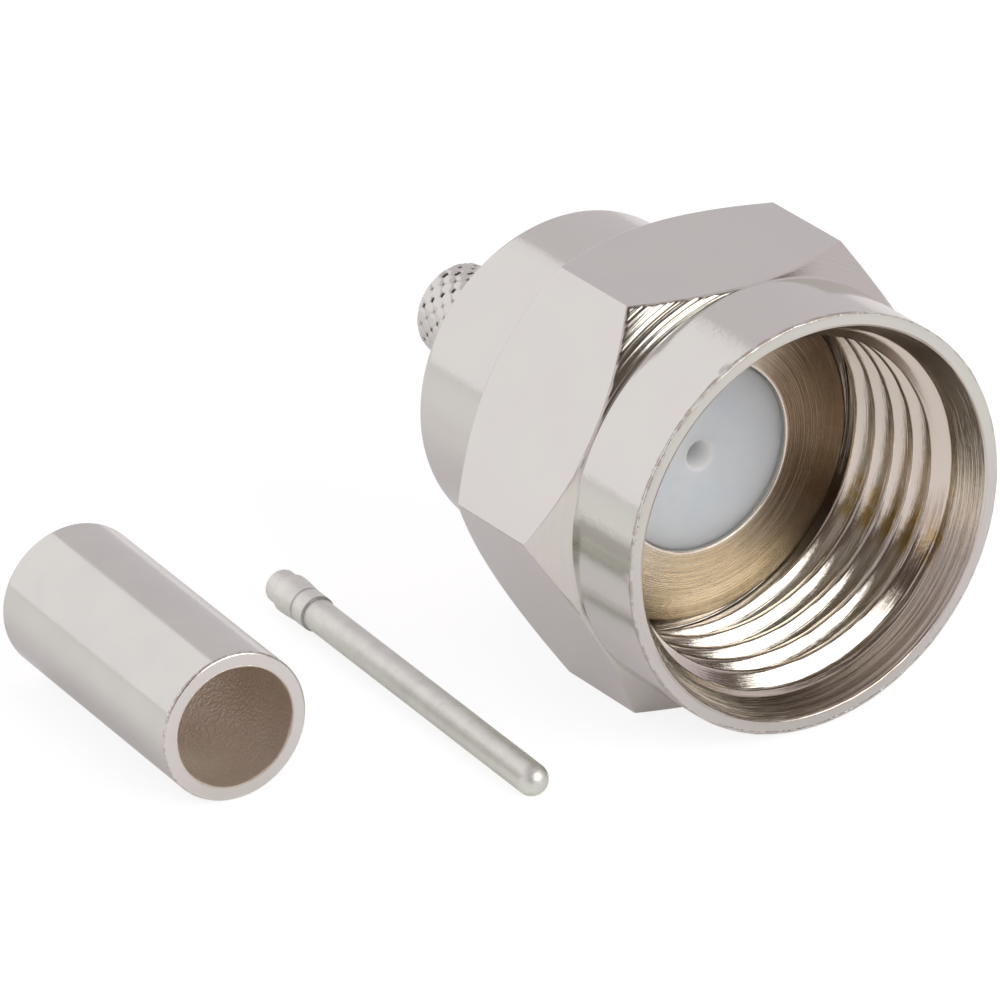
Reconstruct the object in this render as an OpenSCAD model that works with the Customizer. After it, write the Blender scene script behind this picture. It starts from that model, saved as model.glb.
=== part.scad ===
// Straight crimp plug with a threaded coupling nut for small coaxial cable.
// The plug rests on one flat of its nut. The crimp ferrule and the contact
// pin, which are fitted with the cable, lie loose beside it on the same surface.
// Origin: centre of the body's front face, the plane that the mating jack
// butts against. The mouth of the nut looks along -Y and +Z is up.

/* [Coupling nut] */
// Width of the hexagon across its flats
hex_af = 11; // [10.8:0.1:14]
// Overall length of the nut from rim to back face
nut_l = 7; // [6.9:0.1:9]
// Depth of the body's front face below the rim
face_depth = 4.76; // [4.4:0.02:4.8]
// Diameter of the round collar around the mouth
collar_d = 10.92; // [10.6:0.02:10.96]
// Length of the round collar
collar_l = 2.5; // [1.5:0.1:3]
// Axial length of the turned chamfer from the collar out to the hexagon corners
front_chamfer = 0.79; // [0.5:0.01:1]
// Axial length of the turned chamfer at the back of the hexagon
back_chamfer = 0.86; // [0.5:0.01:1]
// Diameter of the back face inside that chamfer
back_face_d = 10.9; // [10.6:0.1:10.9]
// Smallest chamfer that breaks a turned edge
edge_break = 0.06; // [0.02:0.01:0.1]

/* [Thread] */
// Outside diameter of the thread
thread_d = 9.525; // [9.1:0.025:9.6]
// Pitch of the thread
thread_pitch = 0.794; // [0.6:0.002:0.85]
// Amount that the tapping hole is bored over the thread's basic core
core_over = 0.135; // [0:0.005:0.2]
// Diameter of the smooth counterbore at the mouth
mouth_d = 10.24; // [9.9:0.02:10.3]
// Depth of that counterbore
mouth_l = 1; // [0.6:0.1:1.4]
// Width of the run-out groove behind the last thread
runout_w = 0.6; // [0.3:0.05:0.6]

/* [Body] */
// Step from the thread's core down to the nut's plain bore, on the radius
bore_step = 0.04; // [0.02:0.01:0.1]
// Running clearance between that bore and the body, on the radius
turn_clear = 0.05; // [0.02:0.01:0.1]
// Length of the round body from its front face to its back face
body_l = 6.2; // [5.6:0.1:9]
// Chamfer around the back edge of the body
body_chamfer = 0.15; // [0.05:0.05:0.3]
// Thickness of the wall behind the insulator
web_t = 1.1; // [0.8:0.1:1.4]
// Diameter of the knurled crimp stem over the knurl
stem_d = 2.5; // [2.2:0.05:3.1]
// Length of the crimp stem
stem_l = 4.6; // [3.5:0.1:6]
// Bore of the stem, which takes the cable's dielectric
stem_bore_d = 1.6; // [1.3:0.05:1.7]

/* [Snap ring] */
// Thickness of the ring along the axis
ring_t = 0.5; // [0.3:0.05:0.55]
// Width of the ring across its section
ring_w = 0.74; // [0.5:0.02:0.8]
// Depth of the body's groove
ring_seat_h = 0.42; // [0.3:0.02:0.5]
// Clearance of the ring on each side inside the grooves
ring_clear = 0.05; // [0.02:0.01:0.08]
// Width of the split in the ring
ring_gap = 1.2; // [0.6:0.1:2]
// Solid length left behind the nut's groove
nut_land = 0.6; // [0.5:0.05:0.7]

/* [Insulator] */
// Diameter of the insulator
insulator_d = 4.96; // [4:0.02:5.4]
// Fitting clearance around the insulator, on the radius
insulator_clear = 0.01; // [0:0.005:0.03]
// Depth of the insulator's face below the body's face
insulator_recess = 0.12; // [0.05:0.01:0.3]
// Diameter of the pin hole through the insulator
pin_hole_d = 0.72; // [0.5:0.02:0.84]
// Length of the wider pocket at the back that takes the pin's tail
tail_pocket_l = 2; // [1.6:0.1:2.6]

/* [Contact pin] */
// Diameter of the pin's shank
pin_d = 0.84; // [0.7:0.01:1]
// Length of the pin from its back end to the tip
pin_l = 12.78; // [10:0.02:15.4]
// Diameter of the solder cup at the back end
cup_d = 0.9; // [0.88:0.01:1]
// Length of the solder cup's outside
cup_l = 0.52; // [0.4:0.02:0.8]
// Bore of the solder cup
cup_bore_d = 0.56; // [0.4:0.02:0.6]
// Depth of the solder cup's bore
cup_bore_l = 1.5; // [1:0.1:2]
// Diameter of the retaining barb
barb_d = 1.04; // [1.02:0.01:1.2]
// Length of the barb
barb_l = 0.84; // [0.6:0.02:1.2]
// Diameter of the shoulder in front of the barb
shoulder_d = 0.95; // [0.94:0.01:1]
// Length of the shoulder
shoulder_l = 0.54; // [0.3:0.02:0.8]

/* [Crimp ferrule] */
// Outside diameter of the ferrule
ferrule_d = 3.9; // [3.6:0.05:4.8]
// Bore of the ferrule
ferrule_bore_d = 3.13; // [2.6:0.01:3.3]
// Length of the ferrule
ferrule_l = 8.47; // [7:0.01:10.2]

/* [Layout] */
// Place of the ferrule's near end across the view
ferrule_x = -13.51; // [-20:0.01:-12.8]
// Place of the ferrule's near end along the plug
ferrule_y = 0.51; // [-4:0.01:4]
// Turn of the ferrule away from the plug's direction
ferrule_turn = -4.8; // [-10:0.1:4]
// Place of the pin's tip centre across the view
pin_x = -7.65; // [-8.2:0.01:-7.4]
// Place of the pin's tip centre along the plug
pin_y = -3.54; // [-6:0.01:0]
// Turn of the pin away from the plug's direction
pin_turn = -3.9; // [-6:0.1:-2]

/* [Hidden] */
$fn = 96;

eps = 0.01;
floor_z = -hex_af / 2;
corner_r = hex_af / 2 / cos(30);

// Places along the axis, measured forward from the body's front face
rim_z = face_depth;
back_z = rim_z - nut_l;
collar_z = rim_z - collar_l;
stem_z = -body_l;
stem_end_z = stem_z - stem_l;

// The body passes through the thread's core and runs in the plain bore behind
// it, so both follow the thread.
core_r = (thread_d - 1.0825 * thread_pitch + core_over) / 2;
runout_r = thread_d / 2 + 0.04;
bore_r = core_r - bore_step;
body_r = bore_r - turn_clear;

// The two grooves that share the snap ring
ring_z = back_z + nut_land + ring_clear;
ring_seat_r = body_r - ring_seat_h;
ring_outer_r = ring_seat_r + ring_w;
nut_groove_r = ring_outer_r + 2 * ring_clear;

insulator_seat_r = insulator_d / 2 + insulator_clear;
insulator_back_z = -body_l + web_t;
tail_pocket_d = barb_d + 0.06;

barb_z = cup_l;
shoulder_z = barb_z + barb_l;
shank_z = shoulder_z + shoulder_l;
barb_peak_z = barb_z + barb_l * 0.3;
pin_tip_z = pin_l - pin_d / 2;
// The pin lies on its barb and on its tip, so it leans a little
pin_lean = asin((barb_d - pin_d) / 2 / (pin_tip_z - barb_peak_z));

// Lays a piece that was drawn along +Z so that it looks along -Y, nose down
module lay_forward(turn = 0, lean = 0) {
    rotate([90 + lean, 0, turn]) children();
}

// Outline of the nut as the lathe leaves the round bar: collar, front cone,
// full width over the corners, back cone
module nut_turning() {
    rotate_extrude() polygon([
        [0, back_z],
        [back_face_d / 2, back_z],
        [corner_r + eps, back_z + back_chamfer * (1 + eps / (corner_r - back_face_d / 2))],
        [corner_r + eps, collar_z - front_chamfer * (1 + eps / (corner_r - collar_d / 2))],
        [collar_d / 2, collar_z],
        [0, collar_z]
    ]);
}

module nut_collar() {
    rotate_extrude() polygon([
        [0, collar_z - eps],
        [collar_d / 2, collar_z - eps],
        [collar_d / 2, rim_z - edge_break],
        [collar_d / 2 - edge_break, rim_z],
        [0, rim_z]
    ]);
}

// Everything that is bored out of the nut, as one profile
module nut_bore() {
    thread_r = thread_d / 2;
    lead_z = rim_z - mouth_l - (mouth_d / 2 - thread_r);
    // the first thread's flank, 30 degrees off the plane across the axis
    thread_top_z = lead_z - (thread_r - core_r) * tan(30);
    groove_z = ring_z - ring_clear;
    groove_w = ring_t + 2 * ring_clear;
    rotate_extrude() polygon([
        [0, rim_z + 1],
        [mouth_d / 2 + edge_break, rim_z + 1],
        [mouth_d / 2 + edge_break, rim_z],
        [mouth_d / 2, rim_z - edge_break],
        [mouth_d / 2, rim_z - mouth_l],
        [thread_r, lead_z],
        [core_r, thread_top_z],
        [core_r, 0],
        [runout_r, -(runout_r - core_r) / 2],
        [runout_r, -runout_w],
        [bore_r, -runout_w],
        [bore_r, groove_z + groove_w],
        [nut_groove_r, groove_z + groove_w],
        [nut_groove_r, groove_z],
        [bore_r, groove_z],
        [bore_r, back_z + edge_break],
        [bore_r + edge_break, back_z],
        [bore_r + edge_break, back_z - 1],
        [0, back_z - 1]
    ]);
}

module coupling_nut() {
    color([0.80, 0.78, 0.75]) lay_forward() difference() {
        union() {
            intersection() {
                // two corners lie level, so one flat faces straight down
                translate([0, 0, back_z])
                    cylinder(r = corner_r, h = nut_l - collar_l, $fn = 6);
                nut_turning();
            }
            nut_collar();
        }
        nut_bore();
    }
}

// Round body and crimp stem, turned in one piece
module body_turning() {
    rotate_extrude() polygon([
        [0, 0],
        [body_r - edge_break, 0],
        [body_r, -edge_break],
        [body_r, ring_z + ring_t],
        [ring_seat_r, ring_z + ring_t],
        [ring_seat_r, ring_z],
        [body_r, ring_z],
        [body_r, stem_z + body_chamfer],
        [body_r - body_chamfer, stem_z],
        [stem_d / 2, stem_z],
        [stem_d / 2, stem_end_z + edge_break],
        [stem_d / 2 - edge_break, stem_end_z],
        [0, stem_end_z]
    ]);
}

module body_bore() {
    rotate_extrude() polygon([
        [0, 1],
        [insulator_seat_r + edge_break, 1],
        [insulator_seat_r + edge_break, 0],
        [insulator_seat_r, -edge_break],
        [insulator_seat_r, insulator_back_z],
        [stem_bore_d / 2, insulator_back_z],
        [stem_bore_d / 2, stem_end_z - 1],
        [0, stem_end_z - 1]
    ]);
}

module connector_body() {
    color([0.82, 0.78, 0.71]) lay_forward() difference() {
        body_turning();
        body_bore();
    }
}

// Split ring that lies in both grooves and keeps the nut on the body
module snap_ring() {
    color([0.62, 0.62, 0.63]) lay_forward() difference() {
        translate([0, 0, ring_z]) cylinder(r = ring_outer_r, h = ring_t);
        translate([0, 0, ring_z - 1]) cylinder(r = ring_seat_r, h = ring_t + 2);
        translate([-ring_gap / 2, 0, ring_z - 1])
            cube([ring_gap, ring_outer_r + 1, ring_t + 2]);
    }
}

module insulator() {
    color([0.87, 0.90, 0.92]) lay_forward() difference() {
        translate([0, 0, insulator_back_z])
            cylinder(d = insulator_d, h = -insulator_back_z - insulator_recess);
        translate([0, 0, insulator_back_z - 1])
            cylinder(d = pin_hole_d, h = body_l + 2);
        translate([0, 0, insulator_back_z - 1])
            cylinder(d = tail_pocket_d, h = tail_pocket_l + 1);
    }
}

// Solder cup, barb, shoulder and a shank with a round tip, along one profile
module pin_turning() {
    rotate_extrude() polygon([
        [0, 0],
        [cup_d / 2 - edge_break, 0],
        [cup_d / 2, edge_break],
        [cup_d / 2, barb_z],
        [barb_d / 2 - edge_break / 2, barb_z],
        [barb_d / 2, barb_z + edge_break],
        [barb_d / 2, barb_peak_z],
        [shoulder_d / 2, shoulder_z],
        [shoulder_d / 2, shank_z],
        [pin_d / 2, shank_z],
        [pin_d / 2, pin_tip_z],
        [0, pin_tip_z]
    ]);
    translate([0, 0, pin_tip_z]) sphere(d = pin_d);
}

module contact_pin() {
    color([0.74, 0.74, 0.73])
        translate([pin_x, pin_y, floor_z + pin_d / 2])
            lay_forward(pin_turn, pin_lean) translate([0, 0, -pin_tip_z])
                difference() {
                    pin_turning();
                    translate([0, 0, -1]) cylinder(d = cup_bore_d, h = cup_bore_l + 1);
                }
}

module crimp_ferrule() {
    r = ferrule_d / 2;
    b = ferrule_bore_d / 2;
    color([0.76, 0.73, 0.73])
        translate([ferrule_x, ferrule_y, floor_z + r])
            lay_forward(ferrule_turn) rotate_extrude() polygon([
                [b + edge_break, 0],
                [r - edge_break, 0],
                [r, -edge_break],
                [r, -ferrule_l + edge_break],
                [r - edge_break, -ferrule_l],
                [b + edge_break, -ferrule_l],
                [b, -ferrule_l + edge_break],
                [b, -edge_break]
            ]);
}

coupling_nut();
connector_body();
snap_ring();
insulator();
contact_pin();
crimp_ferrule();
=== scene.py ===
# Straight crimp plug for small coaxial cable, with its loose ferrule and contact pin.
# Every shape is worked out in millimetres along its own axis, then laid in the frame.
import math

import bpy
import numpy as np
from mathutils import Euler, Matrix, Vector


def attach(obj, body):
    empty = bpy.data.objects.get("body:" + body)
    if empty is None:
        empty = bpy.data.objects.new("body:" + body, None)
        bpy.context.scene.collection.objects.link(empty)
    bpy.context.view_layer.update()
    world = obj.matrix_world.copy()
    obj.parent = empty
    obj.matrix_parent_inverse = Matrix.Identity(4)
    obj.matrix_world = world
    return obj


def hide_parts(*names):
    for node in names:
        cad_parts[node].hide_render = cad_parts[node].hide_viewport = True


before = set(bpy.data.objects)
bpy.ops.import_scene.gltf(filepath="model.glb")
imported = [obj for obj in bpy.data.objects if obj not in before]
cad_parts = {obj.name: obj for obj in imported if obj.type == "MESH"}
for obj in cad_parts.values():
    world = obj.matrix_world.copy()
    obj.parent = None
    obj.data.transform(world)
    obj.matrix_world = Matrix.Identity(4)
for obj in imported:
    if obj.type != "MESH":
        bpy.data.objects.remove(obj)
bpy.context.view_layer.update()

mm = 0.001
floorZ = -5.5  # the nut's lower flat rests here


# Mesh helpers

def roundProfile(corners, steps=5, support=0.05, spacing=0.6):
    # Corners are (z, r, rounding). Each corner becomes a parabola that touches both of its
    # sides: p(s) = (1-s)^2 a + 2 s (1-s) c + s^2 b, and straight stretches get rows of
    # their own close to the roundings, so that a flat side stays flat in a reflection.
    points = np.array([c[:2] for c in corners], float)
    sizes = np.array([c[2] for c in corners], float)
    s = np.linspace(0, 1, steps + 1)[:, None]
    pieces = []
    for i, corner in enumerate(points):
        back = points[i - 1] if i > 0 else corner
        ahead = points[i + 1] if i + 1 < len(points) else corner
        if sizes[i] <= 0 or i in (0, len(points) - 1):
            pieces.append(corner[None])
        else:
            toBack, toAhead = back - corner, ahead - corner
            near = min(sizes[i], 0.45 * np.linalg.norm(toBack), 0.45 * np.linalg.norm(toAhead))
            a = corner + toBack / np.linalg.norm(toBack) * near
            b = corner + toAhead / np.linalg.norm(toAhead) * near
            pieces.append((1 - s) ** 2 * a + 2 * s * (1 - s) * corner + s ** 2 * b)
    rows = [pieces[0]]
    for before, after in zip(pieces, pieces[1:]):
        start, end = before[-1], after[0]
        length = np.linalg.norm(end - start)
        inner = np.linspace(0, 1, max(2, int(length / spacing) + 2))[1:-1]
        if length > 3 * support:
            inner = np.concatenate([[support / length], inner, [1 - support / length]])
        inner = np.unique(inner)[:, None]
        rows += [start + (end - start) * inner, after]
    return np.concatenate(rows)


def evenAngles(count):
    # a = 2 pi k / count
    return np.arange(count) * 2 * math.pi / count


def layForward(points, turn=0.0, lean=0.0, at=(0.0, 0.0, 0.0)):
    # A shape drawn along +Z looks along -Y afterwards: turned about X by 90 + lean
    # degrees, then about Z by turn degrees, then moved
    spin = np.array(Euler((math.radians(90 + lean), 0, math.radians(turn))).to_matrix())
    return points @ spin.T + np.array(at)


def ringMesh(name, z, r, angles, turn=0.0, lean=0.0, at=(0.0, 0.0, 0.0), loop=True):
    # A ring surface on a grid of profile rows and angle columns:
    # point = (r cos a, r sin a, z). The profile closes on itself, or its two ends
    # close on the axis in a pole.
    z, r = (np.broadcast_to(v if np.ndim(v) == 2 else v[:, None], (len(v), len(angles)))
            for v in (z, r))
    points = np.stack([r * np.cos(angles), r * np.sin(angles), z], -1)
    rows, cols = z.shape
    index = np.arange(rows * cols).reshape(rows, cols)
    if loop:
        ahead = np.roll(index, -1, axis=0)
    else:
        index, ahead = index[:-1], index[1:]
    quads = np.stack([index, np.roll(index, -1, 1), np.roll(ahead, -1, 1), ahead], -1).reshape(-1, 4)
    points = points.reshape(-1, 3)
    fans = np.zeros((0, 3), int)
    if not loop:
        first, last = np.arange(cols), np.arange(cols) + (rows - 1) * cols
        poles = np.array([[0, 0, z[0, 0]], [0, 0, z[-1, 0]]])
        low, high = len(points), len(points) + 1
        fans = np.concatenate([
            np.stack([np.roll(first, -1), first, np.full(cols, low)], -1),
            np.stack([last, np.roll(last, -1), np.full(cols, high)], -1)])
        points = np.concatenate([points, poles])
    # the sum of a . (b x c) over the triangles is positive when the faces look outwards
    triangles = np.concatenate([quads[:, :3], quads[:, [0, 2, 3]], fans])
    a, b, c = (points[triangles[:, k]] for k in range(3))
    if np.einsum("ij,ij->", a, np.cross(b, c)) < 0:
        quads, fans = quads[:, ::-1], fans[:, ::-1]
    mesh = bpy.data.meshes.new(name)
    mesh.from_pydata((layForward(points, turn, lean, at) * mm).tolist(), [],
                     quads.tolist() + fans.tolist())
    mesh.shade_smooth()
    piece = bpy.data.objects.new(name, mesh)
    bpy.context.scene.collection.objects.link(piece)
    return piece


def softMin(a, b, width):
    # The smaller of two heights, with the crease between them rounded over that width
    h = np.clip(0.5 + 0.5 * (b - a) / width, 0, 1)
    return b + (a - b) * h - width * h * (1 - h)


def softMax(a, b, width):
    # The larger of two heights: minus the softMin of both with their signs turned
    return -softMin(-a, -b, width)


# Shader helpers

class Wire:
    # Wraps a value socket, so that an expression in Python adds its Math nodes
    def __init__(self, graph, socket):
        self.graph, self.socket = graph, socket

    def calc(self, operation, *values):
        return self.graph.node("ShaderNodeMath", {"operation": operation}, dict(enumerate(values)))

    def __add__(self, other): return self.calc("ADD", self, other)
    def __radd__(self, other): return self.calc("ADD", other, self)
    def __sub__(self, other): return self.calc("SUBTRACT", self, other)
    def __rsub__(self, other): return self.calc("SUBTRACT", other, self)
    def __mul__(self, other): return self.calc("MULTIPLY", self, other)
    def __rmul__(self, other): return self.calc("MULTIPLY", other, self)
    def __truediv__(self, other): return self.calc("DIVIDE", self, other)
    def __pow__(self, other): return self.calc("POWER", self, other)
    def __abs__(self): return self.calc("ABSOLUTE", self)
    def most(self, other): return self.calc("MAXIMUM", self, other)
    def least(self, other): return self.calc("MINIMUM", self, other)

    def rise(self, low, high):
        # 0 below low, 1 above high, smooth in between; high below low turns it round
        ends = (low, high, 0.0, 1.0) if low < high else (high, low, 1.0, 0.0)
        return self.graph.node("ShaderNodeMapRange", {"interpolation_type": "SMOOTHSTEP"},
                               {"Value": self, **dict(enumerate(ends, 1))})

    def near(self, centre, outer, inner):
        # 1 within inner of the centre, 0 beyond outer
        return abs(self - centre).rise(outer, inner)


class Graph:
    # Adds nodes to one tree: the settings go first, then the values and the links
    def __init__(self, tree):
        self.tree = tree

    def node(self, kind, settings=None, values=None, out=0):
        made = self.tree.nodes.new(kind)
        for key, value in (settings or {}).items():
            setattr(made, key, value)
        for key, value in (values or {}).items():
            self.plug(made.inputs[key], value)
        return Wire(self, made.outputs[out]) if made.outputs else None

    def plug(self, socket, value):
        if isinstance(value, Wire):
            self.tree.links.new(value.socket, socket)
        elif isinstance(value, tuple) and socket.type == "RGBA":
            socket.default_value = (*value, 1)
        else:
            socket.default_value = value

    def split(self, vector):
        parts = self.node("ShaderNodeSeparateXYZ", {}, {0: vector}).socket.node.outputs
        return [Wire(self, socket) for socket in parts]

    def mix(self, factor, first, second):
        return self.node("ShaderNodeMix", {"data_type": "RGBA"}, {
            0: factor, 6: first, 7: second}, out=2)

    def ray(self, name):
        return self.node("ShaderNodeLightPath", out="Is " + name + " Ray")


class Finish(Graph):
    # One material: its tree, its Principled shader, its base colour and the piece's own axis
    def __init__(self, name, base, turn=0.0, lean=0.0, at=(0.0, 0.0, 0.0)):
        self.material = bpy.data.materials.new(name)
        self.material.use_nodes = True
        super().__init__(self.material.node_tree)
        self.shader = self.tree.nodes["Principled BSDF"]
        self.base = base
        # millimetres from the piece's own zero, with z along its axis
        self.place = self.node("ShaderNodeMapping", {"vector_type": "TEXTURE"}, {
            "Vector": self.node("ShaderNodeTexCoord", out="Object"),
            "Location": Vector(at) * mm,
            "Rotation": (math.radians(90 + lean), 0, math.radians(turn)),
            "Scale": (mm, mm, mm)})
        self.x, self.y, self.z = self.split(self.place)
        self.radius = (self.x * self.x + self.y * self.y) ** 0.5

    def coat(self, mask, colour):
        # One more colour over the base, as strong as the mask
        self.base = self.mix(mask, self.base, colour)

    def vector(self, x, y, z):
        return self.node("ShaderNodeCombineXYZ", {}, {0: x, 1: y, 2: z})

    def noise(self, where, scale, detail=2.0, roughness=0.5):
        return self.node("ShaderNodeTexNoise", {}, {
            "Vector": where, "Scale": scale, "Detail": detail, "Roughness": roughness})

    def bump(self, height, distance, strength=1.0, under=None):
        values = {"Height": height, "Distance": distance * mm, "Strength": strength}
        if under is not None:
            values["Normal"] = under
        return self.node("ShaderNodeBump", {}, values)

    def turning(self, fine, slow=0.08):
        # Marks of the lathe: a noise that changes fast along the radius and the axis,
        # and slowly round the piece
        return self.vector(self.radius * fine + self.x * slow, self.z * fine + self.y * slow,
                           (self.x - self.y) * slow)

    def wear(self, roughness, normal, **others):
        named = {"Base Color": self.base, "Roughness": roughness, "Normal": normal}
        named.update((name.replace("_", " "), value) for name, value in others.items())
        for name, value in named.items():
            self.plug(self.shader.inputs[name], value)
        return self.material


def dress(piece, material, body=None, stands=None):
    piece.data.materials.clear()
    piece.data.materials.append(material)
    if body:
        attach(piece, body)
    if stands:
        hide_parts(stands)


# Camera

cameraSet = {
    "target": (-6.3628, -0.5245, 0.8724),
    "forward": (0.49890, 0.74948, -0.43520),
    "right": (0.83244, -0.55412, 0.0),
    "roll": 0.0240297,
    "distance": 304.504,
    "lens": 452.61,
}


def makeCamera(s):
    # The picture's right and down are the level right and its cross with forward,
    # turned by the small roll
    forward, level = np.array(s["forward"]), np.array(s["right"])
    down = np.cross(forward, level)
    c, k = math.cos(s["roll"]), math.sin(s["roll"])
    right, low = c * level + k * down, c * down - k * level
    spot = (np.array(s["target"]) - forward * s["distance"]) * mm
    data = bpy.data.cameras.new("photoCamera")
    data.lens, data.sensor_width = s["lens"], 36.0
    data.clip_start, data.clip_end = 0.01, 20.0
    camera = bpy.data.objects.new("photoCamera", data)
    matrix = np.eye(4)
    matrix[:3, :4] = np.column_stack([right, -low, -forward, spot])
    camera.matrix_world = Matrix(matrix.tolist())
    bpy.context.scene.collection.objects.link(camera)
    bpy.context.scene.camera = camera


makeCamera(cameraSet)
print("camera set")


# Coupling nut

nutShape = {
    "flatR": 5.5, "cornerRound": 0.07, "edgeRound": 0.05,
    "rimZ": 4.76, "backZ": -2.24, "collarZ": 2.26, "collarR": 5.46,
    "frontChamfer": 0.79, "backChamfer": 0.86, "backR": 5.45,
    "mouthR": 5.12, "leadZ": 3.95, "leadSlope": 0.89,
    "coreR": 4.38, "rootR": 4.80, "rootFlat": 0.09, "pitch": 0.794, "threadPhase": 0.27,
    "flankSlope": 1.732, "runoutR": 4.8025, "runoutW": 0.6, "runoutSlope": 2.2, "boreR": 4.36,
    "grooveR": 4.73, "grooveZ": -1.64, "grooveW": 0.6,
    "rimRound": 0.07, "threadRound": 0.035, "threadRows": 26,
    # angle in degrees, height, width in degrees
    "nicks": ((141, .035, 1.1), (118, -.03, 1.6), (96, .03, 1.0), (163, -.025, 1.8), (178, .02, 1.2),
              (205, -.03, 1.3), (31, .02, 1.5), (250, .025, 1.2), (300, -.02, 1.4)),
    "upper": (0.73, 0.745, 0.675), "lowerShade": (0.70, 0.685, 0.655), "inside": (0.76, 0.69, 0.60),
    "cloud": (0.70, 0.70, 0.655), "speck": (0.36, 0.32, 0.29), "turned": (0.42, 0.36, 0.29),
    "mouthStreakShade": (0.28, 0.21, 0.15), "coarseStreak": (0.18, 0.10, 0.06),
    "ochre": (0.58, 0.42, 0.13), "leadShade": (0.40, 0.31, 0.24), "edgeStain": (0.40, 0.30, 0.22),
}


def hexColumns():
    # Angles of the columns: even steps across each flat, close ones round each corner
    near = np.array([0, 0.09, 0.18, 0.27, 0.36, 0.55, 0.9])
    even = np.linspace(1.6, 58.4, 38)
    sector = np.concatenate([near, even, 60 - near[:0:-1]])
    return np.radians((np.arange(6)[:, None] * 60 + sector).ravel())


def hexRadius(s, angles):
    # Distance from the axis to a hexagon with rounded corners. A flat is at
    # flatR / cos(angle from its middle), a corner at c cos d + sqrt(rho^2 - c^2 sin^2 d),
    # where c is the rounding's centre and d the angle from the corner
    rho = s["cornerRound"]
    centre = (s["flatR"] - rho) / math.cos(math.pi / 6)
    d = (angles + math.pi / 6) % (math.pi / 3) - math.pi / 6
    touch = math.atan2(rho * 0.5, centre + rho * math.cos(math.pi / 6))
    flat = s["flatR"] / np.cos(math.pi / 6 - np.abs(d))
    arc = centre * np.cos(d) + np.sqrt(np.maximum(rho ** 2 - (centre * np.sin(d)) ** 2, 0))
    return np.where(np.abs(d) < touch, arc, flat)


def coneRuns(s):
    # How much the front and the back cone widen along the axis: the corner's radius less
    # the cone's small end, divided by the chamfer's length
    cornerR = s["flatR"] / math.cos(math.pi / 6)
    return ((cornerR - s["collarR"]) / s["frontChamfer"],
            (cornerR - s["backR"]) / s["backChamfer"])


def nutOutside(s, angles):
    # The outside at height z: the hexagon, cut by a cone in front and one behind,
    # and never inside the round collar. Rows crowd where a cone meets a flat.
    hexR = hexRadius(s, angles)
    frontRun, backRun = coneRuns(s)
    frontZ = s["collarZ"] - (hexR - s["collarR"]) / frontRun
    backZ = s["backZ"] + (hexR - s["backR"]) / backRun
    reach = np.array([0, .06, .14, .25, .37, .5, .62, .74, .84, .91, .96, 1])[:, None]
    beyond = np.array([.018, .04, .08])[:, None]
    across = np.linspace(0, 1, 6)[:, None]
    middleTop, middleEnd = frontZ - .12, backZ + .12
    front = s["collarZ"] + (frontZ - s["collarZ"]) * reach
    middle = middleTop + (middleEnd - middleTop) * across
    behind = backZ + (s["backZ"] + .02 - backZ) * (1 - reach[::-1])
    collarTop = s["rimZ"] - s["rimRound"]
    collar = np.concatenate([
        [collarTop, collarTop - .04], np.linspace(s["rimZ"] - .36, s["collarZ"] + .24, 6),
        s["collarZ"] + np.array([.09, .05, .025])])
    z = np.concatenate([collar[:, None] + 0 * hexR, front, frontZ - beyond, middle,
                        backZ + beyond[::-1], behind])
    cut = softMin(hexR + 0 * z, s["collarR"] + (s["collarZ"] - z) * frontRun, s["edgeRound"])
    cut = softMin(cut, s["backR"] + (z - s["backZ"]) * backRun, s["edgeRound"])
    held = softMax(cut, s["collarR"] + 0 * z, 0.03)
    r = np.where(z > 0, held, cut)
    return z, r


def nutThread(s, angles):
    # The thread inside, right-handed: a is the distance along the axis to the nearest
    # root's middle, and past the root's flat r falls by flankSlope a down to the core.
    # The mouth tapers down to the root, and a chamfer goes on from there to the core,
    # so that the first ridge runs out into it.
    rows = int(s["leadZ"] / s["pitch"] * s["threadRows"])
    z = np.linspace(0.0, s["leadZ"], rows)[:, None] + 0 * angles
    turn = (z - s["threadPhase"]) / s["pitch"] - angles / (2 * math.pi)
    a = s["pitch"] * np.abs(turn % 1 - 0.5)
    flank = s["rootR"] - s["flankSlope"] * np.maximum(a - s["rootFlat"], 0)
    r = softMax(flank, s["coreR"] + 0 * z, s["threadRound"])
    chamfer = s["rootR"] - (s["leadZ"] - z) * s["leadSlope"]
    r = softMax(r, chamfer, 0.02)
    tail = s["runoutR"] - z * s["runoutSlope"]
    return z, softMax(r, tail, 0.03)


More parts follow.
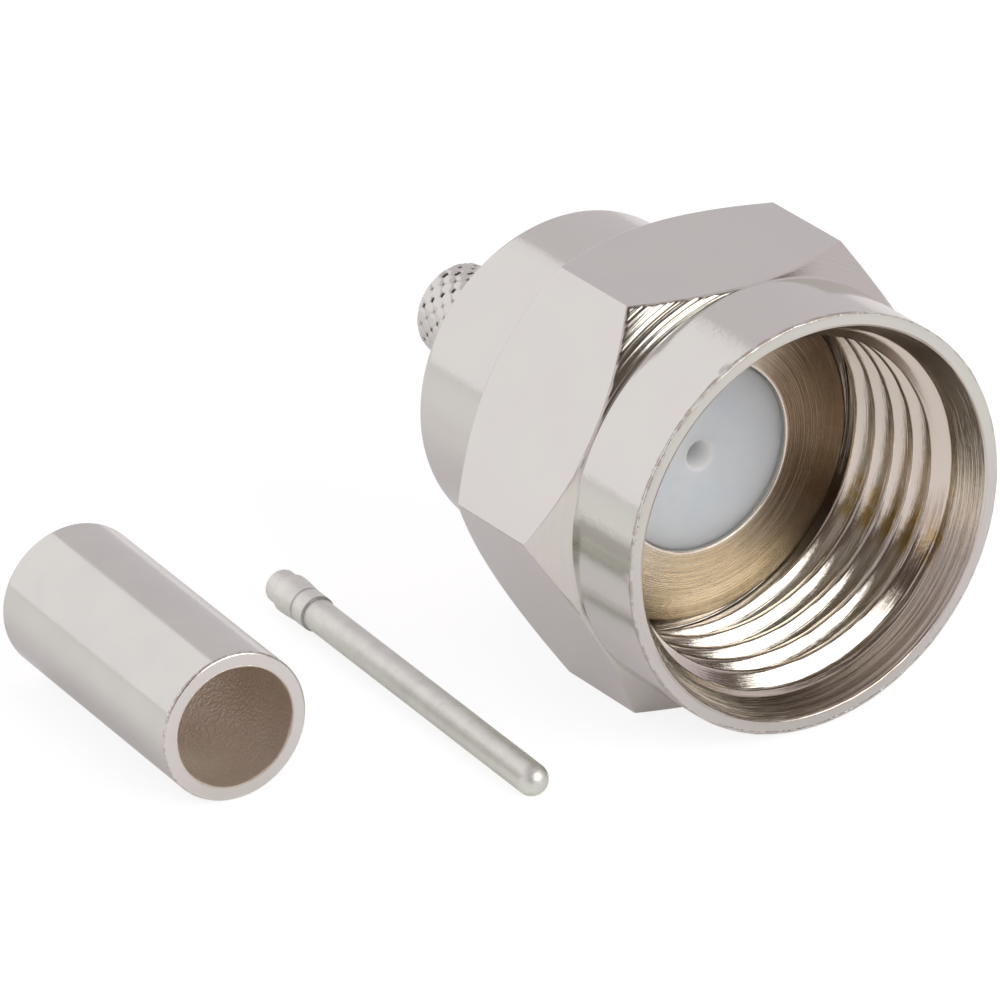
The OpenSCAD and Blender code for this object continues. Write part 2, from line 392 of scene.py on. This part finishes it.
def makeNut(s):
    # One closed profile round the axis, r(z, a): the outside, the back with its bore, the
    # thread and the rim, each in its turn
    angles = hexColumns()
    outZ, outR = nutOutside(s, angles)
    # back face, bore and the snap ring's groove, up to the run-out behind the thread
    inner = roundProfile([
        (s["backZ"], s["backR"] - .03, 0), (s["backZ"], s["boreR"] + .06, .03),
        (s["backZ"] + .06, s["boreR"], .03), (s["grooveZ"], s["boreR"], .02),
        (s["grooveZ"], s["grooveR"], .02), (s["grooveZ"] + s["grooveW"], s["grooveR"], .02),
        (s["grooveZ"] + s["grooveW"], s["boreR"], .02), (-s["runoutW"], s["boreR"], .02),
        (-s["runoutW"], s["runoutR"], .05), (-.03, s["runoutR"], 0)], steps=3)
    threadZ, threadR = nutThread(s, angles)
    rim = roundProfile([
        (s["leadZ"] + .03, s["rootR"] + .012, 0), (s["rimZ"], s["mouthR"], .05),
        (s["rimZ"], s["collarR"], s["rimRound"]), (s["rimZ"] - s["rimRound"], s["collarR"], 0)],
        spacing=0.2)[:-1]
    wide = 0 * angles
    z = np.concatenate([outZ, inner[:, :1] + wide, threadZ, rim[:, :1] + wide])
    r = np.concatenate([outR, inner[:, 1:] + wide, threadR, rim[:, 1:] + wide])
    # small nicks along the rim's outer edge: each one is a bell of height h and width w
    # round its own angle, and fades out away from the edge
    edge = np.clip(1 - np.hypot(z - s["rimZ"] + .03, r - s["collarR"] + .03) / .09, 0, 1)
    lump = sum(h * np.exp(-((np.degrees(angles) - a + 180) % 360 - 180) ** 2 / w ** 2)
               for a, h, w in s["nicks"])
    return ringMesh("nutShell", z - edge * np.abs(lump) * 0.4, r + edge * lump, angles)


def nutFinish(s):
    f = Finish("brightNickelNut", s["upper"])
    mouthZ = (s["leadZ"] - 0.02, s["leadZ"] + 0.03)
    inside = f.radius.rise(s["mouthR"] + 0.07, s["mouthR"] + 0.03)
    mouth = inside * f.z.rise(*mouthZ)
    thread = inside * f.z.rise(*mouthZ[::-1])
    rimFace = f.z.rise(s["rimZ"] - 0.05, s["rimZ"] - 0.015)
    coneR = s["collarR"] - (f.z - s["collarZ"]) * coneRuns(s)[0]
    onCone = f.radius.near(coneR, 0.05, 0.02) * f.z.rise(s["collarZ"] + 0.04, s["collarZ"] - 0.01)
    backFace = f.z.rise(s["backZ"] + 0.04, s["backZ"] + 0.005)
    coarse = onCone * f.x.rise(1.0, -2.0) * f.y.rise(1.0, 3.0)  # one corner was cut coarser
    calm = f.x.rise(4.4, 3.2)  # all but the mouth's right end
    turned = (mouth + rimFace * 0.12 + onCone * 0.15 + coarse * 0.85 + backFace).least(1.0)
    feed = f.noise(f.turning(7.5, 0.05), 1.0, 2.0, 0.55)  # the tool's feed on the chamfer
    marks = f.noise(f.turning(26.0, 0.25), 1.0, 3.0, 0.6)
    scratch = f.noise(f.turning(34.0, 0.8), 1.0, 2.0, 0.5)
    cloud = f.noise(f.place, 0.55, 3.0, 0.55)
    speck = f.noise(f.place, 9.0, 4.0, 0.6)
    ripple = f.noise(f.place, 3.2, 3.0, 0.6)
    burrs = f.noise(f.place, 7.0, 3.0, 0.6)
    # painted shade: the lower side gets a darker copy of the nickel's colour
    f.coat(f.y.rise(1.5, -1.5), s["lowerShade"])
    # painted reflection: the thread, the mouth and the cones get a warmer tone for the brown interior
    # they mirror
    f.coat(thread * 0.9 + mouth * 0.55 + onCone * 0.2 + coarse * 0.25, s["inside"])
    f.coat(cloud.rise(0.35, 0.75) * 0.35, s["cloud"])
    f.coat(turned * marks.rise(0.52, 0.36) * 0.5, s["turned"])
    # the mouth's dark streaks follow the turning marks, deepened as painted shade inside the mouth
    f.coat(mouth * calm * marks.rise(0.60, 0.44) * 0.60, s["mouthStreakShade"])
    # the coarse corner is darkest towards its left end
    f.coat(coarse * feed.rise(0.52, 0.42) * (0.35 + f.x.rise(-3.4, -4.4) * 0.6), s["coarseStreak"])
    f.coat(speck.rise(0.69, 0.75) * 0.3, s["speck"])
    # stains in the thread, low on the right, with y / x as the direction from the axis
    lowRight = f.x.rise(2.0, 3.0) * (f.y / f.x.most(0.5)).near(-0.52, 0.24, 0.06)
    ochre = thread * lowRight * f.z.rise(-s["runoutW"], 0.0) * f.radius.rise(4.45, 4.60)
    f.coat(ochre * ripple.rise(0.34, 0.56) * 0.75, s["ochre"])
    # the thread's lead is darker there with painted shade, and the rim's outer edge has small stains
    leadShade = thread * f.z.rise(3.20, 3.40) * f.x.rise(0.8, 2.4) * f.y.rise(-0.5, -1.5)
    f.coat(leadShade * marks.rise(0.65, 0.40) * 0.75, s["leadShade"])
    edge = f.z.rise(s["rimZ"] - 0.16, s["rimZ"] - 0.08)
    edge = edge * f.radius.rise(s["collarR"] - 0.06, s["collarR"] - 0.02)
    f.coat(edge * ripple.rise(0.44, 0.56) * 0.5, s["edgeStain"])
    rough = 0.085 + speck * 0.05 + (onCone + rimFace + backFace) * 0.06 + mouth * 0.03 + thread * 0.04
    height = (marks * 0.6 + scratch * 0.4) * (0.014 + turned * 0.98 - coarse * 0.6 + thread * 0.5)
    height = height + feed * (coarse * 3.1 + onCone * 0.1) + marks * mouth * (1.0 - calm) * 0.5
    burr = f.z.rise(s["rimZ"] - 0.10, s["rimZ"] - 0.05)
    burr = burr * f.radius.rise(s["collarR"] - 0.10, s["collarR"] - 0.04)
    normal = f.bump(height + burrs * burr * 3.0, 0.012, 0.8)
    normal = f.bump(speck * 1.6 + ripple * 4.0, 0.0016, 0.5, normal)
    return f.wear(rough, normal, Metallic=1.0)


nut = makeNut(nutShape)
dress(nut, nutFinish(nutShape), "nut", "coupling_nut")
print("coupling nut done", len(nut.data.polygons))


# Connector body with its knurled stem

bodyShape = {
    "bodyR": 4.31, "bodyL": 6.2, "edge": 0.05, "backEdge": 0.15,
    "seatR": 3.89, "seatZ": -1.59, "seatW": 0.5,
    "stemR": 1.25, "stemL": 4.6, "stemBoreR": 0.8,
    "insulatorR": 2.49, "insulatorBackZ": -5.1,
    "knurls": 16, "knurlLead": 0.46, "knurlDepth": 0.22, "plainL": 0.12, "stemRows": 220,
    "slitNarrow": 0.13, "slitLong": 0.34, "slitShare": 0.7, "lineShare": 0.09, "crossShare": 0.10,
    "upper": (0.73, 0.745, 0.675), "lowerShade": (0.70, 0.695, 0.655), "face": (0.79, 0.715, 0.58),
    "cloud": (0.70, 0.70, 0.655), "turned": (0.50, 0.41, 0.29), "faceShade": (0.36, 0.28, 0.20),
    "lipHighlight": (0.98, 0.94, 0.86), "slitShade": (0.12, 0.11, 0.10),
}


def knurlRadius(s, z, angles):
    # Two sets of crossing grooves, counted round plus and minus along the stem. With du and
    # dv the signed distances to the nearest groove of each set, u = 1 - 2 |du| and v the
    # same, shallow grooves run where u or v is near 1, and a slit of uneven depth lies at
    # each crossing: exp(-((du - dv) / narrow)^2 - ((du + dv) / long)^2)
    turns = s["knurls"] * angles / (2 * math.pi)
    along = z / s["knurlLead"]
    du = (turns + along + 0.5) % 1 - 0.5
    dv = (turns - along + 0.5) % 1 - 0.5
    u, v = 1 - 2 * np.abs(du), 1 - 2 * np.abs(dv)
    some = 0.5 + 0.5 * np.sin(5 * angles + 3.1 * z) * np.sin(2.3 * z + 3 * angles + 1)
    slit = np.exp(-((du - dv) / s["slitNarrow"]) ** 2 - ((du + dv) / s["slitLong"]) ** 2)
    line = softMax(u, v, 0.12) ** 5
    groove = s["slitShare"] * slit * some ** 3 + s["lineShare"] * line + s["crossShare"] * u * v
    plainEnd = -s["bodyL"] - s["plainL"]
    fromEnd = s["stemL"] + s["bodyL"] + z
    fade = np.clip(fromEnd / 0.12, 0, 1) * np.clip((plainEnd - z) / 0.1, 0, 1)
    rounding = 0.09 * np.clip(1 - fromEnd / 0.10, 0, 1) ** 2
    return s["stemR"] - s["knurlDepth"] * groove * fade - rounding


def makeBody(s):
    # One closed profile round the axis: the face and outside with the ring's seat, then the
    # stem, whose r(z, a) comes from knurlRadius, then the cable bore and the bead's seat
    angles = evenAngles(s["knurls"] * 18)
    stemTop, stemEnd = -s["bodyL"], -s["bodyL"] - s["stemL"]
    front = roundProfile([
        (-s["edge"] - .06, s["insulatorR"], 0), (0, s["insulatorR"], .08),
        (0, s["bodyR"], s["edge"]),
        (s["seatZ"] + s["seatW"], s["bodyR"], .02), (s["seatZ"] + s["seatW"], s["seatR"], .02),
        (s["seatZ"], s["seatR"], .02), (s["seatZ"], s["bodyR"], .02),
        (stemTop + s["backEdge"], s["bodyR"], .10), (stemTop, s["bodyR"] - s["backEdge"], .08),
        (stemTop, s["stemR"] + .01, 0)], steps=5)
    z = np.linspace(stemTop, stemEnd, s["stemRows"])[:, None] + 0 * angles
    r = knurlRadius(s, z, angles)
    bore = roundProfile([
        (stemEnd, s["stemR"] - .12, 0), (stemEnd, s["stemBoreR"], .04),
        (s["insulatorBackZ"], s["stemBoreR"], .04), (s["insulatorBackZ"], s["insulatorR"], .03),
        (-s["edge"] - .09, s["insulatorR"], 0)], steps=3)
    wide = 0 * angles
    z = np.concatenate([front[:, :1] + wide, z, bore[:, :1] + wide])
    r = np.concatenate([front[:, 1:] + wide, r, bore[:, 1:] + wide])
    return ringMesh("bodyShell", z, r, angles)


def bodyFinish(s):
    f = Finish("satinNickelBody", s["upper"])
    stemTop, stemEnd = -s["bodyL"], -s["bodyL"] - s["stemL"]
    front = f.z.rise(-0.09, -0.03)
    stem = f.z.rise(stemTop - 0.02, stemTop - 0.10)
    backFace = f.z.rise(stemTop + 0.08, stemTop + 0.02)
    backFace = backFace * f.radius.rise(s["stemR"] + 0.05, s["stemR"] + 0.15)
    marks = f.noise(f.turning(30.0, 0.04), 1.0, 3.0, 0.62)
    scratch = f.noise(f.turning(30.0, 0.9), 1.0, 2.0, 0.5)
    cloud = f.noise(f.place, 0.5, 3.0, 0.55)
    grain = f.noise(f.place, 16.0, 3.0, 0.6)
    ripple = f.noise(f.place, 3.2, 3.0, 0.6)
    # painted shade: the lower side gets a darker copy of the nickel's colour
    f.coat(f.y.rise(1.2, -1.2), s["lowerShade"])
    # painted reflection: the front face's warm tone stands in for the brown thread it mirrors
    f.coat(front, s["face"])
    f.coat(cloud.rise(0.35, 0.75) * 0.3, s["cloud"])
    f.coat(front * marks.rise(0.56, 0.38) * 0.35, s["turned"])
    # painted brown shade on the face's side away from the light
    f.coat(front * (f.x / f.radius).rise(0.5, 0.9) * 0.85, s["faceShade"])
    # a painted highlight on the lip round the insulator
    lipHighlight = f.radius.rise(s["insulatorR"] + 0.11, s["insulatorR"] + 0.06)
    lipHighlight = lipHighlight * f.radius.rise(s["insulatorR"] - 0.02, s["insulatorR"])
    f.coat(front * lipHighlight * 0.8, s["lipHighlight"])
    # the knurl's slits get painted shade and are rougher, and the bore and the stem's end ring do not
    slitShade = stem * f.radius.rise(s["stemR"] - 0.017, s["stemR"] - 0.05)
    slitShade = slitShade * f.radius.rise(s["stemBoreR"] + 0.15, s["stemBoreR"] + 0.20)
    slitShade = slitShade * f.z.rise(stemEnd + 0.08, stemEnd + 0.18)
    f.coat(slitShade, s["slitShade"])
    rough = 0.10 + grain * 0.05 + front * 0.03 + stem * 0.10 + slitShade * 0.45
    height = (marks * 0.8 + scratch * 0.2) * (0.03 + (front + backFace).least(1.0) * 0.97)
    normal = f.bump(height, 0.012, 0.9)
    normal = f.bump(grain + ripple * 3.0, 0.002, 0.5, normal)
    return f.wear(rough, normal, Metallic=1.0)


body = makeBody(bodyShape)
dress(body, bodyFinish(bodyShape), "plug", "connector_body")
print("connector body done", len(body.data.polygons))


# Insulator

insulatorShape = {
    "r": 2.48, "faceZ": -0.12, "backZ": -5.1, "holeR": 0.36, "pocketR": 0.55, "pocketL": 2.0,
    "white": (0.78, 0.85, 0.95), "cloud": (0.81, 0.87, 0.96), "speck": (0.60, 0.65, 0.70),
    "hole": (0.80, 0.80, 0.80), "soakGlow": (0.72, 0.72, 0.72), "soakGlowStrength": 0.17,
}


def makeInsulator(s):
    # A profile turned about the axis: the face, the outside, the pocket and the pin's hole
    angles = evenAngles(144)
    profile = roundProfile([
        (s["faceZ"] - .5, s["holeR"], 0), (s["faceZ"] - .06, s["holeR"], .10),
        (s["faceZ"], s["holeR"] + .07, .05), (s["faceZ"], s["r"], .06), (s["backZ"], s["r"], .06),
        (s["backZ"], s["pocketR"], .04), (s["backZ"] + s["pocketL"], s["pocketR"], .03),
        (s["backZ"] + s["pocketL"], s["holeR"], .03), (s["faceZ"] - .55, s["holeR"], 0)], steps=5)
    return ringMesh("insulatorBead", profile[:, 0], profile[:, 1], angles)


def insulatorFinish(s):
    f = Finish("whiteInsulator", s["white"])
    cloud = f.noise(f.place, 1.3, 3.0, 0.55)
    grain = f.noise(f.place, 14.0, 3.0, 0.55)
    facing = f.noise(f.turning(9.0), 1.0, 2.0, 0.5)
    f.coat(cloud.rise(0.3, 0.7), s["cloud"])
    f.coat(grain.rise(0.66, 0.74) * 0.2, s["speck"])
    f.coat(f.radius.rise(s["holeR"] + .10, s["holeR"] - .02), s["hole"])
    rough = 0.46 + grain * 0.12
    normal = f.bump(grain * 0.6 + facing * 0.4, 0.006, 0.6)
    # a painted glow round the hole stands in for light that soaks through the thin wall
    soakGlow = f.radius.rise(s["holeR"] + .12, s["holeR"] - .01) * f.z.rise(s["faceZ"] - 1.2, s["faceZ"])
    glow = f.mix(soakGlow, (0.0, 0.0, 0.0), s["soakGlow"])
    return f.wear(rough, normal, Emission_Color=glow, Emission_Strength=s["soakGlowStrength"],
                  Subsurface_Weight=1.0, Subsurface_Scale=0.0012,
                  Subsurface_Radius=(1.0, 1.0, 1.0), IOR=1.38)


bead = makeInsulator(insulatorShape)
dress(bead, insulatorFinish(insulatorShape), "plug", "insulator")
print("insulator done", len(bead.data.polygons))


# Contact pin

pinShape = {
    "tipR": 0.42, "length": 12.36, "cupR": 0.45, "cupL": 0.52, "cupBoreR": 0.28, "cupBoreL": 1.5,
    "barbR": 0.52, "barbPeak": 0.772, "barbEnd": 1.36, "shoulderR": 0.475, "shoulderEnd": 1.90,
    "turn": -3.9, "lean": 0.4945, "tip": (-7.65, -3.54, floorZ + 0.42),
    "pale": (0.81, 0.84, 0.76), "cloud": (0.74, 0.765, 0.69), "groove": (0.33, 0.34, 0.32),
    "tipRing": (0.42, 0.42, 0.40), "mottle": (0.62, 0.64, 0.58),
}


def pinPlace(s):
    # The pin is drawn from its back end, and its tip's centre is where it is placed
    back = layForward(np.array([[0.0, 0.0, -s["length"]]]), s["turn"], s["lean"], s["tip"])[0]
    return {"turn": s["turn"], "lean": s["lean"], "at": tuple(back)}


def makePin(s):
    # A profile turned about the axis, from the cup's bore over barb and shoulder to the tip
    angles = evenAngles(96)
    body = roundProfile([
        (s["cupBoreL"], .02, 0), (s["cupBoreL"], s["cupBoreR"], .06), (0, s["cupBoreR"], .04),
        (0, s["cupR"], .08), (s["cupL"] - .03, s["cupR"], .05), (s["cupL"] + .02, s["barbR"], .06),
        (s["barbPeak"], s["barbR"], .12), (s["barbEnd"] - .02, s["shoulderR"] - .005, .10),
        (s["barbEnd"] + .06, s["shoulderR"], .03), (s["shoulderEnd"], s["shoulderR"], .05),
        (s["shoulderEnd"] + .01, s["tipR"], .02), (s["length"], s["tipR"], 0)], spacing=0.9)
    # the tip is half a ball: z = z0 + R sin t, r = R cos t
    t = np.linspace(0, math.pi / 2, 15)[1:-1]
    tip = np.column_stack([s["length"] + s["tipR"] * np.sin(t), s["tipR"] * np.cos(t)])
    end = np.array([[s["length"] + s["tipR"], 0.002]])
    profile = np.concatenate([body, tip, end])
    return ringMesh("pinContact", profile[:, 0], profile[:, 1], angles, loop=False, **pinPlace(s))


def pinFinish(s):
    f = Finish("satinSilverPin", s["pale"], **pinPlace(s))
    grain = f.noise(f.place, 30.0, 4.0, 0.65)
    cloud = f.noise(f.place, 1.6, 3.0, 0.6)
    mottle = f.noise(f.place, 6.0, 3.0, 0.6)
    # painted shadow: dark bands in the steps at the barb's end and the shoulder's end
    groove = f.z.near(s["barbEnd"], 0.07, 0.02) + f.z.near(s["shoulderEnd"], 0.05, 0.015)
    tipRing = f.z.near(s["length"] + 0.12, 0.16, 0.04)
    f.coat(cloud.rise(0.3, 0.7), s["cloud"])
    f.coat(groove.least(1.0) * 0.7, s["groove"])
    f.coat(tipRing * cloud.rise(0.35, 0.65) * 0.4, s["tipRing"])
    f.coat(mottle.rise(0.55, 0.7) * 0.35, s["mottle"])
    normal = f.bump(grain + mottle * 1.2, 0.010, 0.7)
    return f.wear(0.33 + grain * 0.12, normal, Metallic=1.0)


pin = makePin(pinShape)
dress(pin, pinFinish(pinShape), "plug", "contact_pin")
print("contact pin done", len(pin.data.polygons))


# Crimp ferrule

ferruleShape = {
    "r": 1.95, "boreR": 1.565, "length": 8.47, "edge": 0.08, "boreEdge": 0.06,
    "turn": -4.8, "at": (-13.51, 0.51, floorZ + 1.95), "unevenness": 0.008,
    "upper": (0.73, 0.745, 0.675), "cloud": (0.70, 0.72, 0.655), "lowerShade": (0.66, 0.655, 0.62),
    "face": (0.79, 0.775, 0.735), "bore": (0.77, 0.68, 0.57), "boreSand": (0.84, 0.75, 0.64),
    "boreRightShade": (0.60, 0.53, 0.43), "shade": (0.45, 0.37, 0.29), "rimLine": (0.42, 0.32, 0.24),
}


def makeFerrule(s):
    # A tube's profile with four rounded edges, turned about the axis
    angles = evenAngles(160)
    profile = roundProfile([
        (-.6, s["boreR"], 0), (0, s["boreR"], s["boreEdge"]), (0, s["r"], s["edge"]),
        (-s["length"], s["r"], s["edge"]), (-s["length"], s["boreR"], s["boreEdge"]),
        (-.65, s["boreR"], 0)], steps=6)
    # the bore is a little uneven, as a drawn tube's is: r + unevenness (sin(3 a + 0.9 z)
    # + sin(7 a - 2.1 z + 1))
    z, r = profile[:, :1] + 0 * angles, profile[:, 1:] + 0 * angles
    inBore = np.clip((s["boreR"] + 0.02 - r) / 0.02, 0, 1)
    wave = np.sin(3 * angles + 0.9 * z) + np.sin(7 * angles - 2.1 * z + 1)
    r = r + inBore * s["unevenness"] * wave
    return ringMesh("ferruleTube", z, r, angles, turn=s["turn"], at=s["at"])


def ferruleFinish(s):
    f = Finish("ferruleNickel", s["upper"], turn=s["turn"], at=s["at"])
    bore = f.radius.rise(s["boreR"] + 0.06, s["boreR"] + 0.02)
    face = f.z.rise(-0.06, -0.015)
    sand = f.noise(f.place, 12.0, 1.5, 0.5)
    cloud = f.noise(f.place, 0.7, 3.0, 0.55)
    drawn = f.noise(f.vector(f.x * 9.0, f.y * 9.0, f.z * 0.35), 1.0, 3.0, 0.6)
    f.coat(cloud.rise(0.3, 0.7), s["cloud"])
    # painted shade: the lower side gets a darker copy of the nickel's colour
    f.coat(f.y.rise(0.4, -0.8), s["lowerShade"])
    f.coat(face, s["face"])
    f.coat(bore, f.mix(sand.rise(0.35, 0.65), s["bore"], s["boreSand"]))
    # painted shade: the bore darkens towards the right, and behind the near end's edge
    f.coat(bore * f.x.rise(-0.6, 1.5) * 0.5, s["boreRightShade"])
    f.coat(bore * f.z.rise(-1.6, -0.1) * (f.x - f.y).rise(-1.6, 0.8) * 0.45, s["shade"])
    rimLine = f.z.rise(-0.10, -0.07) * f.radius.rise(s["r"] - 0.05, s["r"] - 0.01)
    f.coat(rimLine * sand.rise(0.40, 0.55) * 0.6, s["rimLine"])
    rough = 0.10 + cloud * 0.05 + face * 0.14 + bore * 0.30
    normal = f.bump(sand * (0.02 + bore * 2.0 + face * 0.12) + drawn * 0.08, 0.02, 0.8)
    return f.wear(rough, normal, Metallic=1.0 - bore * 0.5)


ferrule = makeFerrule(ferruleShape)
dress(ferrule, ferruleFinish(ferruleShape), "plug", "crimp_ferrule")
print("crimp ferrule done", len(ferrule.data.polygons))


# Snap ring, the CAD's own shape

ringLook = {
    "dark": (0.46, 0.46, 0.47), "pale": (0.55, 0.54, 0.53), "turned": (0.32, 0.31, 0.30),
}


def ringFinish(s):
    f = Finish("springSteel", s["dark"])
    marks = f.noise(f.turning(30.0), 1.0, 3.0, 0.6)
    cloud = f.noise(f.place, 1.2, 3.0, 0.6)
    f.coat(cloud.rise(0.3, 0.7), s["pale"])
    f.coat(marks.rise(0.5, 0.35) * 0.4, s["turned"])
    return f.wear(0.24 + marks * 0.14, f.bump(marks, 0.01, 0.7), Metallic=1.0)


dress(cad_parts["snap_ring"], ringFinish(ringLook))
print("snap ring finished")


# Floor, studio light and background

studio = {
    "dome": (0.664, 0.60, 0.652), "front": (0.085, 0.062, 0.050),
    "frontToward": (0.10, -0.93, 0.35), "frontRise": (0.53, 0.70),
    "floorSize": 1.2, "floorColour": (0.84, 0.83, 0.82), "floorSeen": (0.32, 0.32, 0.32),
    "floorLift": 0.82, "floorGloss": 0.16,
    "panelAt": (-0.4535, 0.540, 0.425), "panelAim": (-0.0723, -0.047, 0.425),
    "panelWidth": 1.593, "panelHeight": 0.85, "panelRadiance": 0.29,
    "boxAt": (0.161, -0.526, 0.375), "boxAim": (0.0, 0.0, 0.36),
    "boxWidth": 0.53, "boxHeight": 0.51, "boxRadiance": 3.5,
}


def areaLamp(name, at, aim, width, height, radiance):
    # An even panel of that radiance gives radiance x pi x its area in watts
    data = bpy.data.lights.new(name, "AREA")
    data.shape, data.size, data.size_y = "RECTANGLE", width, height
    data.energy = radiance * math.pi * width * height
    lamp = bpy.data.objects.new(name, data)
    lamp.location = at
    lamp.rotation_euler = (Vector(aim) - Vector(at)).to_track_quat("-Z", "Y").to_euler()
    lamp.visible_camera = False
    bpy.context.scene.collection.objects.link(lamp)


def makeLamps(s):
    # one broad panel behind on the left, one soft box in front on the right
    for name in ("panel", "box"):
        areaLamp(name + "Lamp", s[name + "At"], s[name + "Aim"],
                 s[name + "Width"], s[name + "Height"], s[name + "Radiance"])


def makeWorld(s):
    # White where the camera looks past the object. For light and reflections it is an
    # even grey room, darker on the side that the camera stands on.
    world = bpy.data.worlds.new("studioRoom")
    bpy.context.scene.world = world
    world.use_nodes = True
    world.node_tree.nodes.clear()
    g = Graph(world.node_tree)
    x, y, z = g.split(g.node("ShaderNodeTexCoord", out="Generated"))
    fx, fy, fz = s["frontToward"]
    towards = x * fx + y * fy + z * fz
    colour = g.mix(towards.rise(*s["frontRise"]), s["dome"], s["front"])
    room = g.node("ShaderNodeBackground", {}, {"Color": colour})
    white = g.node("ShaderNodeBackground", {}, {"Color": (1.0, 1.0, 1.0)})
    pick = g.node("ShaderNodeMixShader", {}, {0: g.ray("Camera"), 1: room, 2: white})
    g.node("ShaderNodeOutputWorld", {}, {"Surface": pick})


def makeFloor(s):
    # A level square under the nut. It lights the object as a pale table, and for the camera
    # it is a darker one that glows, so that it fades into the white behind.
    half = s["floorSize"] / 2
    mesh = bpy.data.meshes.new("floorPlane")
    mesh.from_pydata([(-half, -half, floorZ * mm), (half, -half, floorZ * mm),
                      (half, half, floorZ * mm), (-half, half, floorZ * mm)], [], [(0, 1, 2, 3)])
    floor = bpy.data.objects.new("floorPlane", mesh)
    bpy.context.scene.collection.objects.link(floor)
    material = bpy.data.materials.new("paleFloor")
    material.use_nodes = True
    material.node_tree.nodes.clear()
    g = Graph(material.node_tree)
    seen = g.ray("Camera")
    lit = g.node("ShaderNodeBsdfDiffuse", {}, {"Color": s["floorColour"]})
    pale = g.node("ShaderNodeBsdfDiffuse", {}, {"Color": s["floorSeen"]})
    pick = g.node("ShaderNodeMixShader", {}, {0: seen, 1: lit, 2: pale})
    glow = g.node("ShaderNodeEmission", {}, {
        "Strength": seen * s["floorLift"] + g.ray("Glossy") * s["floorGloss"]})
    both = g.node("ShaderNodeAddShader", {}, {0: glow, 1: pick})
    g.node("ShaderNodeOutputMaterial", {}, {"Surface": both})
    mesh.materials.append(material)


makeLamps(studio)
makeWorld(studio)
makeFloor(studio)
bpy.context.scene.view_settings.view_transform = "Standard"
print("studio ready")
